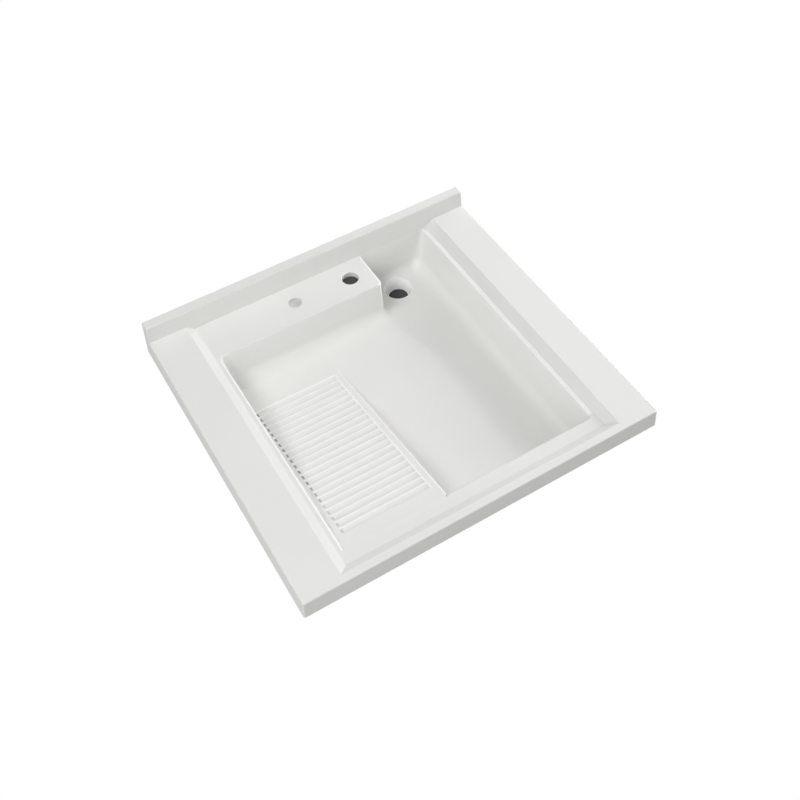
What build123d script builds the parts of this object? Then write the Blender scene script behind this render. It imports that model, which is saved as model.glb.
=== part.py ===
from build123d import *
import os

# Laundry countertop basin: raised deck strips around a sunken tray, tap ledge,
# deep L-shaped bowl with a drain bay, inclined washboard, upstand and aprons.
# Plan coordinates x, y are measured from the front left corner of the deck's
# top edge, z from the deck's top face. Each piece is moved to the part's frame
# when it is written: origin at the plan centre, on the plane where the cabinet's
# top edge meets the underside.

# ---------------------------------------------------------------- dimensions
TOP_W = 700.0            # width across the deck's top face
BACK_Y = 648.8           # rear face of the upstand and of the bay's rear wall
WALL_Y = 628.0           # front face of the upstand, and of the bay's rear wall
UPSTAND_H = 37.7         # upstand above the deck
SIDE_LEAN = 0.080        # outward lean of the side faces, mm per mm of depth
FRONT_LEAN = 0.028       # the same for the front face
APRON_H = 43.0           # deck top to the foot of the aprons
APRON_T = 18.0
DECK_T = 13.0            # deck strips, which is also the depth of the tray
TRAY_T = 12.0
DECK_L = 75.8            # left edge to the top of the left bevel
DECK_R = 627.8           # left edge to the top of the right bevel
DECK_F = 15.1
BEVEL = 16.6             # plan width of the bevel
EDGE_R = 2.0             # rounding of the outer edges
FOOT_R = 1.2

BOWL_L, BOWL_R = 102.3, 602.0
BOWL_F = 57.6
LEDGE_Y = 535.8          # front edge of the tap ledge
LEDGE_X = 454.5          # right end of the tap ledge
SHELL_T = 12.0
FLANGE_W, FLANGE_T = 12.0, 8.0
DRAFT_L, DRAFT_R, DRAFT_F = 0.04, 0.12, 0.04
DRAFT_LEDGE, DRAFT_END, DRAFT_BAY = 0.03, 0.03, 0.02
CORNER_TOP, CORNER_FOOT = 7.5, 24.0
LEDGE_CORNER = 9.5

# Floor: a plateau, two facets that fall to the trough beside the right wall,
# the trough itself and a level patch at the waste; the first four each as z = z0 + a (x - x0) + b (y - y0)
PLATEAU = (-87.5, 0.0, 0.0, 0.0, -0.0216)
FALL_SIDE = (-90.7, 482.0, 150.0, -0.160, -0.0149)
FALL_REAR = (-96.4, 480.0, 413.0, -0.0841, -0.0657)
TROUGH = (-100.2, 0.0, 0.0, 0.0, -0.0216)
SEAT_Z = -110.6          # level ground around the waste, and the rim of its seat

BOARD_X = 301.5          # right edge of the washboard
BOARD_SLOPE = 0.2097
BOARD_DROP = 12.3        # vertical thickness of the washboard plate
BOARD_CUT = 448.0        # rear end of the separate plate
CHEEK_DRAFT = 0.0
GROOVE_X0, GROOVE_X1 = 119.0, 288.0
GROOVE_Y0, GROOVE_PITCH, GROOVE_N = 85.9, 16.25, 22
GROOVE_DEPTH = 2.8

DRAIN_X, DRAIN_Y = 518.3, 589.5
SEAT_R, SEAT_DEPTH = 28.6, 12.0
SEAT_FOOT_R = 23.0
SEAT_OUT = 33.0
DRAIN_R = 20.5
DRAIN_LEN = 12.0         # straight wall of the waste hole

TAP_X, TAP_Y, TAP_R = 407.9, 583.2, 16.75
BLIND_X, BLIND_Y, BLIND_R, BLIND_DEPTH = 285.2, 583.9, 13.2, 7.0

BATTEN_X0, BATTEN_X1 = 70.0, 632.0   # inner faces of the side battens
BATTEN_Y = 44.0                      # inner face of the front batten
RAIL_Y = 610.0                       # front face of the rear rail
RAIL_X = 428.0
# ----------------------------------------------------------------------------

TRAY_Z = -DECK_T
TRAY_BOT = TRAY_Z - TRAY_T
REST_Z = -APRON_H
MOVE = (-TOP_W / 2, -(BACK_Y - FRONT_LEAN * APRON_H) / 2, APRON_H)
BIG = 900.0

os.makedirs("parts", exist_ok=True)


def box(x0, x1, y0, y1, z0, z1):
    return Pos((x0 + x1) / 2, (y0 + y1) / 2, (z0 + z1) / 2) * Box(x1 - x0, y1 - y0, z1 - z0)


def polygon(points):
    return Face(Wire.make_polygon([Vector(*p) for p in points], close=True))


def prism(points, along):
    return Solid.extrude(polygon(points), Vector(*along))


def below(plane, drop=0.0):
    """Everything under a tilted plane, over the whole plan."""
    z0, x0, y0, a, b = plane

    def z(x, y):
        return z0 - drop + a * (x - x0) + b * (y - y0)
    corners = [(-100, -100), (800, -100), (800, 750), (-100, 750)]
    top = [(x, y, z(x, y)) for x, y in corners]
    under = [(x, y, -400.0) for x, y in corners]
    faces = [polygon(top), polygon(under)]
    for i in range(4):
        j = (i + 1) % 4
        faces.append(polygon([top[i], top[j], under[j], under[i]]))
    return Solid(Shell(faces))


# ------------------------------------------------------ outer envelope pieces
def plan_rect(z):
    side, front = -SIDE_LEAN * z, -FRONT_LEAN * z
    return polygon([(-side, -front, z), (TOP_W + side, -front, z),
                    (TOP_W + side, BACK_Y, z), (-side, BACK_Y, z)])


def near(e, axis, value, tol=0.6):
    b = e.bounding_box()
    lo, hi = getattr(b.min, axis), getattr(b.max, axis)
    return abs(lo - value) < tol and abs(hi - value) < tol


slab = loft([plan_rect(REST_Z), plan_rect(0.0)], ruled=True)
slab = fillet(slab.edges().filter_by(lambda e: e.bounding_box().size.Z > 30
                                     and e.center().Y < 5), EDGE_R + 1.0)
slab = fillet(slab.edges().filter_by(lambda e: near(e, "Z", 0.0, 0.01)
                                     and e.center().Y < BACK_Y - 1), EDGE_R)
slab = fillet(slab.edges().filter_by(lambda e: near(e, "Z", REST_Z, 0.01)
                                     and e.center().Y < BACK_Y - 1), FOOT_R)

upper = slab & box(-20, 720, -20, WALL_Y, TRAY_Z, 5)
pocket = loft([polygon([(DECK_L + BEVEL, DECK_F + BEVEL, TRAY_Z), (DECK_R - BEVEL, DECK_F + BEVEL, TRAY_Z),
                        (DECK_R - BEVEL, 700, TRAY_Z), (DECK_L + BEVEL, 700, TRAY_Z)]),
               polygon([(DECK_L, DECK_F, 0), (DECK_R, DECK_F, 0), (DECK_R, 700, 0), (DECK_L, 700, 0)])],
              ruled=True)
pocket = fillet(pocket.edges().filter_by(lambda e: e.bounding_box().size.Z > 10
                                         and e.center().Y < 60), 3.0)
upper = upper - pocket
# the mitres run from the top's outer corners to the bevel's corners, then at 45
# degrees through the bevel
left_tool = prism([(-DECK_L, -DECK_F, -60), (DECK_L, DECK_F, -60), (DECK_L + 150, DECK_F + 150, -60),
                   (DECK_L + 150, 700, -60), (-DECK_L, 700, -60)], (0, 0, 120))
right_w = TOP_W - DECK_R
right_tool = prism([(TOP_W + right_w, -DECK_F, -60), (DECK_R, DECK_F, -60), (DECK_R - 150, DECK_F + 150, -60),
                    (DECK_R - 150, 700, -60), (TOP_W + right_w, 700, -60)], (0, 0, 120))
deck_left = upper & left_tool
deck_right = upper & right_tool
deck_front = upper - left_tool - right_tool

lower = slab & box(-20, 720, -20, BACK_Y, REST_Z, TRAY_Z)
lower = lower - box(APRON_T, TOP_W - APRON_T, APRON_T, BACK_Y + 5, -60, 0)
left_mitre = prism([(-50, -50, -60), (100, 100, -60), (100, 700, -60), (-60, 700, -60), (-60, -50, -60)], (0, 0, 120))
right_mitre = prism([(750, -50, -60), (600, 100, -60), (600, 700, -60), (770, 700, -60), (770, -50, -60)], (0, 0, 120))
apron_left = lower & left_mitre
apron_right = lower & right_mitre
apron_front = lower - left_mitre - right_mitre

foot_out, top_in = -SIDE_LEAN * TRAY_Z, SIDE_LEAN * UPSTAND_H
upstand = prism([(-foot_out, WALL_Y, TRAY_Z), (TOP_W + foot_out, WALL_Y, TRAY_Z),
                 (TOP_W - top_in, WALL_Y, UPSTAND_H), (top_in, WALL_Y, UPSTAND_H)], (0, BACK_Y - WALL_Y, 0))
upstand = fillet(upstand.edges().filter_by(lambda e: near(e, "Z", UPSTAND_H, 0.01) and near(e, "Y", WALL_Y, 0.01)), EDGE_R)
backsplash = upstand


# ---------------------------------------------------------------- bowl solids
def outline(depth, grow, z):
    """L-shaped face at one level; depth is how far below the rim the drafted
    walls are taken, grow widens it by the shell's thickness."""
    xl = BOWL_L + DRAFT_L * depth - grow
    xr = BOWL_R - DRAFT_R * depth + grow
    yf = BOWL_F + DRAFT_F * depth - grow
    ym = LEDGE_Y - DRAFT_LEDGE * depth + grow
    xe = LEDGE_X + DRAFT_END * depth - grow
    yr = (WALL_Y - DRAFT_BAY * depth) if grow == 0 else BACK_Y
    r = CORNER_TOP + (CORNER_FOOT - CORNER_TOP) * max(depth, 0) / 115.0
    rc = r + grow * 0.8
    rr = rc if grow == 0 else 1.5
    ri = max(LEDGE_CORNER - grow, 1.5)
    pts = [((xl, yf), rc), ((xr, yf), rc), ((xr, yr), rr), ((xe, yr), rr), ((xe, ym), ri), ((xl, ym), rc)]
    n = len(pts)
    edges, first, last = [], None, None
    for i, (p, r_i) in enumerate(pts):
        c = Vector(*p)
        da = (Vector(*pts[i - 1][0]) - c).normalized()
        db = (Vector(*pts[(i + 1) % n][0]) - c).normalized()
        s, e = c + da * r_i, c + db * r_i
        cen = s + db * r_i
        mid = cen + (c - cen).normalized() * r_i
        if last is not None:
            edges.append(Line(last, s))
        else:
            first = s
        edges.append(ThreePointArc(s, mid, e))
        last = e
    edges.append(Line(last, first))
    return Pos(0, 0, z) * Face(Wire(edges))


def well(grow, z_bot):
    return loft([outline(0.0, grow, TRAY_Z), outline(TRAY_Z - z_bot, grow, z_bot)], ruled=True)


def floor_block(drop):
    """Material below the floor, drop under it."""
    hump = below(PLATEAU, drop) & below(FALL_SIDE, drop) & below(FALL_REAR, drop)
    return hump + below(TROUGH, drop)


def board_z(y):
    return TRAY_Z - BOARD_SLOPE * (y - BOWL_F)


def board_block(x_rim, drop, lean):
    """Everything under the washboard's slope, left of its cheek; x_rim is the
    cheek's face at the level of the bowl's rim."""
    y0, y1 = -60.0, 620.0

    def x(z):
        return x_rim + lean * (TRAY_Z - z)
    block = prism([(-60, y0, 40), (x(40), y0, 40), (x(-260), y0, -260), (-60, y0, -260)], (0, y1 - y0, 0))
    cut = prism([(-100, y0 - 5, board_z(y0 - 5) - drop), (-100, y1 + 5, board_z(y1 + 5) - drop),
                 (-100, y1 + 5, 300), (-100, y0 - 5, 300)], (700, 0, 0))
    return block - cut


floor0 = floor_block(0.0)
board_solid = board_block(BOARD_X, 0.0, CHEEK_DRAFT)
air = well(0.0, -150.0) - floor0 - board_solid
outer = well(SHELL_T, -165.0) - floor_block(SHELL_T) - board_block(BOARD_X - SHELL_T, BOARD_DROP, CHEEK_DRAFT)
outer = outer - below((SEAT_Z, 0.0, 0.0, 0.0, 0.0), SHELL_T)
print("air", round(air.volume), len(air.solids()), "outer", round(outer.volume), len(outer.solids()))

for r in (10.0, 6.0, 3.0):
    foot = [e for e in air.edges()
            if e.center().Z < -85 and e.bounding_box().size.Z < 40
            and (e.center().X > 585 or e.center().Y > 525 or e.center().Y < 70 or e.center().X < 110)]
    try:
        trial = fillet(foot, r)
        if trial.is_valid and abs(trial.volume / air.volume - 1) < 0.05:
            air = trial
            print("foot fillet", r, len(foot))
            break
    except Exception as err:
        print("foot fillet failed", r, len(foot), str(err)[:80])

air = air - below((SEAT_Z, 0.0, 0.0, 0.0, 0.0))
air = air + Pos(DRAIN_X, DRAIN_Y, SEAT_Z + 5) * Cylinder(SEAT_OUT, 10)
floor0 = floor0 + below((SEAT_Z, 0.0, 0.0, 0.0, 0.0))
shell = outer - air
print("shell", round(shell.volume), len(shell.solids()))

# seat for the waste: ring let into the floor, funnel recess and straight hole
seat_rod = Pos(DRAIN_X, DRAIN_Y, -90) * Cylinder(SEAT_OUT, 240)
seat_low = SEAT_Z - SEAT_DEPTH - DRAIN_LEN
seat = Pos(DRAIN_X, DRAIN_Y, (seat_low + SEAT_Z) / 2) * Cylinder(SEAT_OUT, SEAT_Z - seat_low)
over = 6.0                # the funnel is carried on above the rim for a clean cut
wide = SEAT_R + over * (SEAT_R - SEAT_FOOT_R) / SEAT_DEPTH
recess = Pos(DRAIN_X, DRAIN_Y, SEAT_Z - SEAT_DEPTH + (SEAT_DEPTH + over) / 2) * Cone(SEAT_FOOT_R, wide, SEAT_DEPTH + over)
seat = seat - recess - Pos(DRAIN_X, DRAIN_Y, seat_low) * Cylinder(DRAIN_R, 120)
drain_seat = seat
shell = shell - seat_rod

# washboard: ribbed plate on the slope, and the cheek under its right edge
slope_tool = prism([(0, BOWL_F, board_z(BOWL_F) + 0.5), (0, BOARD_CUT, board_z(BOARD_CUT) + 0.5),
                    (0, BOARD_CUT, board_z(BOARD_CUT) - BOARD_DROP),
                    (0, BOWL_F, board_z(BOWL_F) - BOARD_DROP)], (500, 0, 0))
slope_tool = slope_tool & board_solid & box(BOWL_L, 400, 0, 600, -200, 10)
cheek_tool = (box(BOARD_X - SHELL_T - 2, 330, BOWL_F, BOARD_CUT, -140, TRAY_Z) & board_solid) - floor0 - slope_tool
washboard_plate = shell & slope_tool
washboard_cheek = shell & cheek_tool
bowl_shell = shell - slope_tool - cheek_tool

tilt = 1.0 / (1.0 + BOARD_SLOPE ** 2) ** 0.5
chord = GROOVE_PITCH / tilt - 0.7
scallop_r = (chord ** 2 / 4 + GROOVE_DEPTH ** 2) / (2 * GROOVE_DEPTH)
for i in range(GROOVE_N):
    y = GROOVE_Y0 + GROOVE_PITCH * (i + 0.5)
    lift = scallop_r - GROOVE_DEPTH
    cut = Pos((GROOVE_X0 + GROOVE_X1) / 2, y + lift * BOARD_SLOPE * tilt, board_z(y) + lift * tilt) \
        * Rot(0, 90, 0) * Cylinder(scallop_r, GROOVE_X1 - GROOVE_X0)
    washboard_plate = washboard_plate - cut

# bonding flange under the tray, outside the bowl's walls
body = well(SHELL_T, -165.0)
flange = well(SHELL_T + FLANGE_W, -90.0) & box(-20, 720, BATTEN_Y + 4, BACK_Y, TRAY_BOT - FLANGE_T, TRAY_BOT)
bowl_shell = bowl_shell + (flange - body)

# ------------------------------------------------------------ tray and battens
tray_plate = box(APRON_T, TOP_W - APRON_T, APRON_T, BACK_Y, TRAY_BOT, TRAY_Z) - body
tray_plate = tray_plate - Pos(TAP_X, TAP_Y, TRAY_Z - TRAY_T / 2) * Cylinder(TAP_R, TRAY_T + 2)
tray_plate = tray_plate - Pos(BLIND_X, BLIND_Y, TRAY_Z) * Cylinder(BLIND_R, 2 * BLIND_DEPTH)

batten_left = box(APRON_T, BATTEN_X0, APRON_T, BACK_Y, REST_Z, TRAY_BOT)
batten_right = box(BATTEN_X1, TOP_W - APRON_T, APRON_T, BACK_Y, REST_Z, TRAY_BOT)
batten_front = box(BATTEN_X0, BATTEN_X1, APRON_T, BATTEN_Y, REST_Z, TRAY_BOT)
rear_rail = box(BATTEN_X0, RAIL_X, RAIL_Y, BACK_Y, REST_Z, TRAY_BOT)

pieces = {
    "deck_left": deck_left, "deck_right": deck_right, "deck_front": deck_front,
    "tray_plate": tray_plate, "backsplash": backsplash,
    "apron_front": apron_front, "apron_left": apron_left, "apron_right": apron_right,
    "bowl_shell": bowl_shell, "washboard_plate": washboard_plate, "washboard_cheek": washboard_cheek,
    "drain_seat": drain_seat,
    "batten_left": batten_left, "batten_right": batten_right, "batten_front": batten_front,
    "rear_rail": rear_rail,
}
for name, piece in pieces.items():
    solids = piece.solids()
    placed = Pos(*MOVE) * (solids[0] if len(solids) == 1 else piece)
    placed.label = name
    export_step(placed, f"parts/{name}.step")
    print(name, len(solids), round(sum(s.volume for s in solids)))
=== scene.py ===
import math

import bmesh
import bpy
import numpy as np
from mathutils import Matrix, Vector
from mathutils.geometry import delaunay_2d_cdt

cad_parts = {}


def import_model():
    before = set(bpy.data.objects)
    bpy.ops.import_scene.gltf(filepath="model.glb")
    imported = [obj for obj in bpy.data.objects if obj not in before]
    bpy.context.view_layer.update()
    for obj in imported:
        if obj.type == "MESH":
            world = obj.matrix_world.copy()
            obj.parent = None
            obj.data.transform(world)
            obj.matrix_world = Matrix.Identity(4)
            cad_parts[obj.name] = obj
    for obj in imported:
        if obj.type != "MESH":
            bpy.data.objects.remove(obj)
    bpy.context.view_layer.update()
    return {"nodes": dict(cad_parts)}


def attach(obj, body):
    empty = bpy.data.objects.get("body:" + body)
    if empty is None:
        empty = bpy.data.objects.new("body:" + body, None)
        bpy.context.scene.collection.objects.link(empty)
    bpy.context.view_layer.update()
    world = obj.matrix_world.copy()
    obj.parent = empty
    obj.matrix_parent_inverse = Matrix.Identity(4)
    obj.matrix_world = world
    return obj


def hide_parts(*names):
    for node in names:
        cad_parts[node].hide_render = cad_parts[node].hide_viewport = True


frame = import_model()
cad = frame["nodes"]

# ------------------------------------------------------------------ dimensions
# Millimetres from the front left corner of the deck's top edge, z from the
# deck's top face, the same as in the solid model.
ORIGIN = (350.0, 323.8, 43.0)
TOP_W, BACK_Y, WALL_Y, UPSTAND_H = 700.0, 648.8, 628.0, 37.7
SIDE_LEAN, FRONT_LEAN = 0.080, 0.028
APRON_H, APRON_T, TRAY_Z, TRAY_BOT = 43.0, 18.0, -13.0, -25.0
DECK_L, DECK_R, DECK_F, BEVEL = 75.8, 627.8, 15.1, 16.6
BOWL_L, BOWL_R, BOWL_F, LEDGE_Y, LEDGE_X = 102.3, 602.0, 57.6, 535.8, 454.5
SHELL_T = 12.0
BOARD_X, BOARD_SLOPE, BOARD_DROP, BOARD_CUT = 301.5, 0.2097, 12.3, 448.0
GROOVE_X0, GROOVE_X1 = 117.5, 288.0
GROOVE_Y0, GROOVE_PITCH, GROOVE_N, GROOVE_DEPTH = 85.9, 16.25, 22, 3.3
DRAIN_X, DRAIN_Y, SEAT_Z, SEAT_OUT = 518.3, 589.5, -110.6, 33.0
SEAT_R, SEAT_DEPTH, SEAT_FOOT_R, DRAIN_R, DRAIN_LEN = 28.6, 12.0, 23.0, 20.5, 12.0
LIP_R = 30.4
TAP_X, TAP_Y, TAP_R = 407.9, 583.2, 16.75
BLIND_X, BLIND_Y, BLIND_R, BLIND_DEPTH = 285.2, 583.9, 13.2, 7.0


def world(p):
    return ((p[0] - ORIGIN[0]) / 1000, (p[1] - ORIGIN[1]) / 1000, (p[2] + ORIGIN[2]) / 1000)


# ----------------------------------------------------------------- mesh helpers
class Skin:
    """Vertices and faces gathered in millimetres, turned into one object."""

    def __init__(self):
        self.v, self.f, self.m, self.mat = [], [], [], 0

    def points(self, pts):
        start = len(self.v)
        self.v.extend((float(p[0]), float(p[1]), float(p[2])) for p in pts)
        return list(range(start, start + len(pts)))

    def face(self, ids):
        self.f.append(ids)
        self.m.append(self.mat)

    def strip(self, a, b, closed=False):
        n = len(a)
        for i in range(n if closed else n - 1):
            j = (i + 1) % n
            self.face((a[i], a[j], b[j], b[i]))

    def rows(self, rows, closed=False):
        ids = [self.points(r) for r in rows]
        for a, b in zip(ids, ids[1:]):
            self.strip(a, b, closed)
        return ids

    def polygon(self, pts):
        self.face(tuple(self.points(pts)))

    def fill(self, loops, z_of=None, step=None, extra=(), mat_of=None):
        """Triangulated area inside the first loop and outside the others. Loop
        points keep their own height, as extra points inside do, and new points
        inside get z_of(x, y)."""
        co, edges, flat = [], [], []
        for loop in loops:
            k, n = len(co), len(loop)
            co += [Vector((p[0], p[1])) for p in loop]
            flat += list(loop)
            edges += [(k + i, k + (i + 1) % n) for i in range(n)]
        co += [Vector((p[0], p[1])) for p in extra]
        flat += list(extra)
        border = len(co)
        polys = [np.array([(p[0], p[1]) for p in loop]) for loop in loops]
        near = np.concatenate(polys + ([np.array([(p[0], p[1]) for p in extra])] if len(extra) else []))
        if step:
            p0 = polys[0]
            gx = np.arange(p0[:, 0].min() + step / 2, p0[:, 0].max(), step)
            gy = np.arange(p0[:, 1].min() + step / 2, p0[:, 1].max(), step * 0.87)
            grid = np.array([(x + (step / 2 if j % 2 else 0), y) for j, y in enumerate(gy) for x in gx])
            ok = inside(grid, p0)
            for q in polys[1:]:
                ok &= ~inside(grid, q)
            grid = grid[ok]
            keep = []
            for i in range(0, len(grid), 2000):
                d = np.sqrt(((grid[i:i + 2000, None, :] - near[None]) ** 2).sum(2)).min(1)
                keep.append(d > step * 0.62)
            grid = grid[np.concatenate(keep)] if keep else grid
            co += [Vector((float(x), float(y))) for x, y in grid]
        vs, _, tris, origin, _, _ = delaunay_2d_cdt(co, edges, [], 0, 1e-4)
        pts = []
        for v, o in zip(vs, origin):
            src = [i for i in o if i < border]
            if src:
                pts.append(flat[src[0]])
            else:
                pts.append((v[0], v[1], z_of(v[0], v[1]) if z_of else flat[0][2]))
        cen = np.array([[sum(vs[i][0] for i in t) / 3, sum(vs[i][1] for i in t) / 3] for t in tris])
        ok = inside(cen, polys[0])
        for q in polys[1:]:
            ok &= ~inside(cen, q)
        ids = self.points(pts)
        base = self.mat
        for t, good, c in zip(tris, ok, cen):
            if good:
                self.mat = mat_of(c[0], c[1]) if mat_of else base
                self.face(tuple(ids[i] for i in t))
        self.mat = base

    def cad(self, node, keep):
        """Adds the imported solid's own faces where keep(centre, normal) is true."""
        me = cad[node].data
        ids = {}
        for poly in me.polygons:
            c = poly.center
            m = (c[0] * 1000 + ORIGIN[0], c[1] * 1000 + ORIGIN[1], c[2] * 1000 - ORIGIN[2])
            if keep(m, poly.normal):
                face = []
                for i in poly.vertices:
                    if i not in ids:
                        w = me.vertices[i].co
                        ids[i] = self.points([(w[0] * 1000 + ORIGIN[0], w[1] * 1000 + ORIGIN[1], w[2] * 1000 - ORIGIN[2])])[0]
                    face.append(ids[i])
                self.face(tuple(face))

    def object(self, name, node, material, sharp=32.0, flip=None):
        me = bpy.data.meshes.new(name)
        me.from_pydata([world(p) for p in self.v], [], self.f)
        me.polygons.foreach_set("material_index", self.m)
        bm = bmesh.new()
        bm.from_mesh(me)
        bmesh.ops.remove_doubles(bm, verts=bm.verts, dist=4e-6)
        bmesh.ops.dissolve_degenerate(bm, edges=bm.edges, dist=1e-6)
        bmesh.ops.recalc_face_normals(bm, faces=bm.faces)
        if flip is not None:
            up = sum(f.normal.z * f.calc_area() for f in bm.faces if flip(f.calc_center_median()))
            if up < 0:
                bmesh.ops.reverse_faces(bm, faces=bm.faces)
        bm.to_mesh(me)
        bm.free()
        me.polygons.foreach_set("use_smooth", [True] * len(me.polygons))
        me.set_sharp_from_angle(angle=math.radians(sharp))
        for mat in (material if isinstance(material, tuple) else (material,)):
            me.materials.append(mat)
        obj = bpy.data.objects.new(name, me)
        bpy.context.scene.collection.objects.link(obj)
        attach(obj, "root")
        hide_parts(node)
        flat_shading(obj)
        return obj


def flat_shading(obj):
    """Large flat faces keep their own normal; rounded edges take the blend."""
    mod = obj.modifiers.new("weighted", "WEIGHTED_NORMAL")
    mod.mode = "FACE_AREA"
    mod.weight = 60
    mod.keep_sharp = True


def inside(pts, poly):
    x, y = pts[:, 0][:, None], pts[:, 1][:, None]
    x0, y0 = poly[:, 0][None], poly[:, 1][None]
    x1, y1 = np.roll(poly[:, 0], -1)[None], np.roll(poly[:, 1], -1)[None]
    cross = (y0 > y) != (y1 > y)
    with np.errstate(divide="ignore", invalid="ignore"):
        at = (x1 - x0) * (y - y0) / np.where(y1 == y0, 1e-12, y1 - y0) + x0
    return (cross & (x < at)).sum(1) % 2 == 1


def table(rows, v):
    """Smooth interpolation in a list of (position, value) rows."""
    if v <= rows[0][0]:
        return rows[0][1]
    for (a, fa), (b, fb) in zip(rows, rows[1:]):
        if v <= b:
            return fa + (fb - fa) * (v - a) / (b - a)
    return rows[-1][1]


def smooth(t):
    t = min(max(t, 0.0), 1.0)
    return t * t * (3 - 2 * t)


# ----------------------------------------------------------- surface of the bowl
# Line along which the plateau breaks and falls to the trough, as (y, x), and the
# width of the rounded break before it.
BREAK = [(57, 515), (108, 513), (179, 507), (257, 503), (300, 501), (348, 496), (380, 489), (413, 480),
         (440, 471), (468, 460), (490, 449), (509, 437), (540, 414), (580, 396), (660, 380)]
SOFT = [(57, 62), (150, 60), (250, 50), (330, 32), (400, 15), (450, 12), (660, 12)]
TROUGH_X = 546.0


def smooth_table(rows, v, span=14.0):
    k = (-1.0, -0.5, 0.0, 0.5, 1.0)
    w = (1, 2, 3, 2, 1)
    return sum(b * table(rows, v + a * span) for a, b in zip(k, w)) / 9.0


def soft_max(a, b, k):
    h = max(k - abs(a - b), 0.0) / k
    return max(a, b) + h * h * k * 0.25


def floor_z(x, y):
    """Plateau, facet and trough, with rounded breaks between them."""
    w1 = 0.5 * smooth_table(SOFT, y)
    xc = smooth_table(BREAK, y) + 5.0 - w1
    w2 = 15.0
    high = -86.6 - 0.0216 * y
    low = soft_max(-102.4 - 0.0217 * y, SEAT_Z, 3.0)
    m = 1.0 / (TROUGH_X - xc)
    if x < xc - w1:
        g = 0.0
    elif x < xc + w1:
        g = m * (x - xc + w1) ** 2 / (4 * w1)
    elif x < TROUGH_X - w2:
        g = m * (x - xc)
    elif x < TROUGH_X + w2:
        g = 1 - m * (TROUGH_X + w2 - x) ** 2 / (4 * w2)
    else:
        g = 1.0
    z = high + (low - high) * g
    d = math.hypot(x - DRAIN_X, y - DRAIN_Y)
    f = smooth((d - LIP_R) / 24.0)
    return SEAT_Z + (z - SEAT_Z) * f


def board_z(y):
    return TRAY_Z - BOARD_SLOPE * (y - BOWL_F)


def board_surface(x, y):
    """Ungrooved washboard, run out into the floor behind it."""
    base = floor_z(x, y)
    top = soft_max(board_z(y), base, 5.0)
    return base + (top - base) * (1 - smooth((x - (BOARD_X - 2.0)) / 4.0))


def edge_drop(y):
    """How far the plate's rounded right edge falls before it meets the cheek."""
    return 2.6 * min(max((board_z(y) - floor_z(BOARD_X, y)) / 2.8, 0.0), 1.0)


def cheek_section(y):
    """Face and cove of the washboard's cheek at one y: top of the face, both
    tangent points, centre and radius of the cove."""
    top = board_surface(290, y) - edge_drop(y)
    base = floor_z(BOARD_X + 30, y)
    h = max(top - base, 0.6)
    big = min(26.0, 0.62 * h)
    uw, uf = Vector((0.0, 1.0)), Vector((1.0, 0.0))
    theta = math.acos(uw.dot(uf))
    length = big / math.tan(theta / 2)
    foot = Vector((BOARD_X, base))
    cen = foot + (uw + uf).normalized() * (big / math.sin(theta / 2))
    return top, foot + uw * length, foot + uf * length, cen, big


def ground(x, y):
    if y >= BOARD_CUT:
        return board_surface(x, y) if x < BOARD_X + 3 else floor_z(x, y)
    base = floor_z(x, y)
    if x < BOARD_X + 45:
        top, q1, q2, cen, big = cheek_section(y)
        if x <= q1[0]:
            return q1[1]
        if x < q2[0]:
            z = cen[1] - math.sqrt(max(big * big - (x - cen[0]) ** 2, 0.0))
            t = (x - q1[0]) / (q2[0] - q1[0])
            return z + (floor_z(q2[0], y) - q2[1]) * t * t
    return base


# --------------------------------------------------------------- bowl's outline
def planes(d, o):
    return {"xl": BOWL_L + 0.04 * d + o, "xr": BOWL_R - 0.12 * d - o, "yf": BOWL_F + 0.04 * d + o,
            "ym": LEDGE_Y - 0.03 * d - o, "xe": LEDGE_X + 0.03 * d + o, "yr": WALL_Y - 0.02 * d - o,
            "xc": BOARD_X - 1.0 + o}


# corner: x plane, y plane, sign towards the arc's centre, start and end angle, convex
CORNERS = {"B": ("xr", "yf", -1, 1, -90, 0, False), "C": ("xr", "yr", -1, -1, 0, 90, False),
           "D": ("xe", "yr", 1, -1, 90, 180, False), "E": ("xe", "ym", -1, 1, 0, -90, True),
           "F": ("xl", "ym", 1, -1, 90, 180, False)}
CORNER_R = {"B": (6.5, 24.0), "C": (2.5, 27.0), "D": (4.0, 20.0), "E": (9.0, 11.0), "F": (7.0, 24.0)}


def corner_point(name, f, d, o):
    xk, yk, sx, sy, a0, a1, convex = CORNERS[name]
    pl = planes(d, o)
    r0, r1 = CORNER_R[name]
    r = r0 + (r1 - r0) * min(max(d, 0.0), 115.0) / 115.0
    r = max(r + o if convex else r - o, 1.2)
    cx, cy = pl[xk] + sx * r, pl[yk] + sy * r
    a = math.radians(a0 + (a1 - a0) * f)
    return cx + r * math.cos(a), cy + r * math.sin(a)


def line_point(seg, t, d, o):
    pl = planes(d, o)
    if seg == "front":
        a, b = (pl["xc"], pl["yf"]), corner_point("B", 0, d, o)
    elif seg == "right":
        a, b = corner_point("B", 1, d, o), corner_point("C", 0, d, o)
    elif seg == "rear":
        a, b = corner_point("C", 1, d, o), corner_point("D", 0, d, o)
    elif seg == "end":
        a, b = corner_point("D", 1, d, o), corner_point("E", 0, d, o)
    elif seg == "ledge":
        a, b = corner_point("E", 1, d, o), corner_point("F", 0, d, o)
    else:
        a, b = corner_point("F", 1, d, o), (pl["xl"], BOARD_CUT)
    return a[0] + (b[0] - a[0]) * t, a[1] + (b[1] - a[1]) * t


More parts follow.
